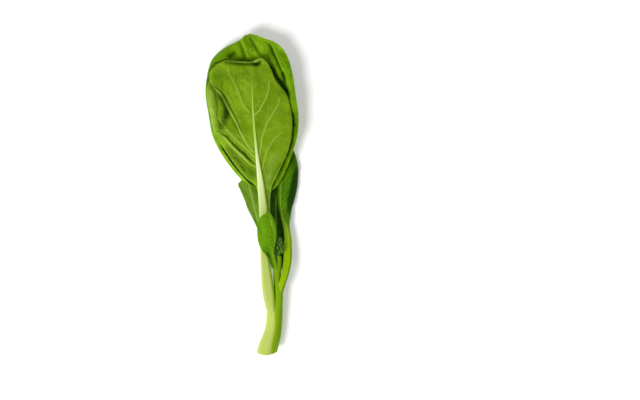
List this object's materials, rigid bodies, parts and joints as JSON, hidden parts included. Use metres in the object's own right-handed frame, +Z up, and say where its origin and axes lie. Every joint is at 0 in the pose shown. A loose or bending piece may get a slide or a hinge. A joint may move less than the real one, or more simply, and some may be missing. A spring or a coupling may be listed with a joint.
{
  "type": "choy sum shoot",
  "caption": "Cut shoot of choy sum lying down: ribbed pale green stem, large broad leaves on long fleshy stalks, smaller side leaves and a head of closed buds.",
  "frame": {"origin": "on the small flat spot under the stem near its cut end, level with the surface that the shoot lies on", "axes": "+Y from the cut end of the stem to the leaf tips, +Z up from the surface, +X to the right when seen from above with the leaf tips away"},
  "size_m": [0.0823, 0.2827, 0.0248],
  "materials": {
    "stem": "smooth, faintly ridged green and pale skin with a paler cut face",
    "leaf_underside": "matte underside with a raised pale midrib, side veins and a fine net",
    "leaf_upper": "glossy fresh green upper side, quilted between sunken veins",
    "leaf_muted": "soft muted green with a pale midrib",
    "leaf_young": "glossy young leaf with close herringbone veins",
    "leaf_dark": "deep green quilted blade on a yellow-green stalk",
    "leaf_inner": "dark narrow young leaf",
    "buds": "matte green sepals over closed buds on slim stalks"
  },
  "bodies": {
    "root": {"stem": "stem", "leaf_front": "leaf_underside", "leaf_back": "leaf_upper", "leaf_left": "leaf_muted", "leaf_small": "leaf_young", "leaf_right": "leaf_dark", "leaf_inner": "leaf_inner", "bud_head": "buds"}
  },
  "joints": []
}
